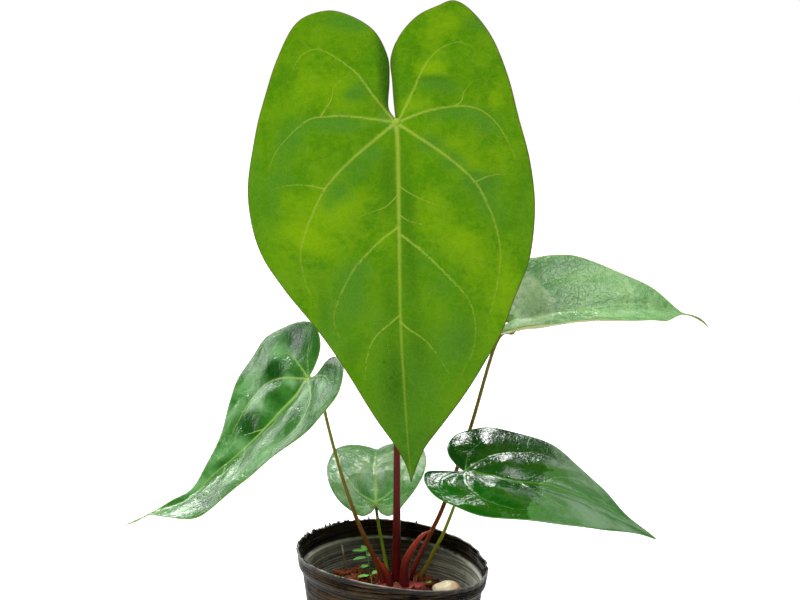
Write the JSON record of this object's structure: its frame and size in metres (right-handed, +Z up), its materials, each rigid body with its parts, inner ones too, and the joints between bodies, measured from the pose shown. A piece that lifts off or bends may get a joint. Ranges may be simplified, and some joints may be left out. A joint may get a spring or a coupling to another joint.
{
  "type": "potted anthurium",
  "caption": "Young heart-leaved anthurium in a thin black nursery pot: a large upright blade in front, smaller dark blades on bent stalks behind and beside it.",
  "frame": {"origin": "centre of the pot's flat underside, where it stands on a surface", "axes": "+Z up along the pot's axis, -Y towards the side that the largest blade faces, +X to the right seen from there"},
  "size_m": [0.3671, 0.166, 0.4493],
  "materials": {
    "black_plastic": "satin",
    "coconut_coir": "matte",
    "young_blade": "satin",
    "old_blade": "gloss",
    "red_stalk": "satin",
    "olive_stalk": "satin",
    "cream_stone": "matte",
    "seedling_green": "satin",
    "dry_straw": "matte"
  },
  "bodies": {
    "root": {"nursery_pot": "black_plastic", "potting_mix": "coconut_coir", "crown": "red_stalk", "blade_main": "young_blade", "blade_left": "old_blade", "blade_right": "old_blade", "blade_back_right": "old_blade", "blade_small_back": "old_blade", "petiole_main": "red_stalk", "petiole_left": "olive_stalk", "petiole_right": "olive_stalk", "petiole_back_right": "red_stalk", "petiole_small_back": "olive_stalk", "spear_right": "red_stalk", "spear_left": "red_stalk", "prop_root_front": "olive_stalk", "prop_root_left": "red_stalk", "pebble": "cream_stone", "coir_chip_01": "coconut_coir", "coir_chip_02": "coconut_coir", "coir_chip_03": "coconut_coir", "coir_chip_04": "coconut_coir", "coir_chip_05": "coconut_coir", "coir_chip_06": "coconut_coir", "coir_chip_07": "coconut_coir", "coir_chip_08": "coconut_coir", "coir_chip_09": "coconut_coir", "coir_chip_10": "coconut_coir", "dry_stalk": "dry_straw", "seedling_tall_stem": "seedling_green", "seedling_tall_leaflet_1": "seedling_green", "seedling_tall_leaflet_2": "seedling_green", "seedling_tall_leaflet_3": "seedling_green", "seedling_tall_leaflet_4": "seedling_green", "seedling_tall_leaflet_5": "seedling_green", "seedling_low_stem": "seedling_green", "seedling_low_leaflet_1": "seedling_green", "seedling_low_leaflet_2": "seedling_green", "seedling_right_stem": "seedling_green", "seedling_right_leaflet_1": "seedling_green", "seedling_right_leaflet_2": "seedling_green"}
  },
  "joints": []
}
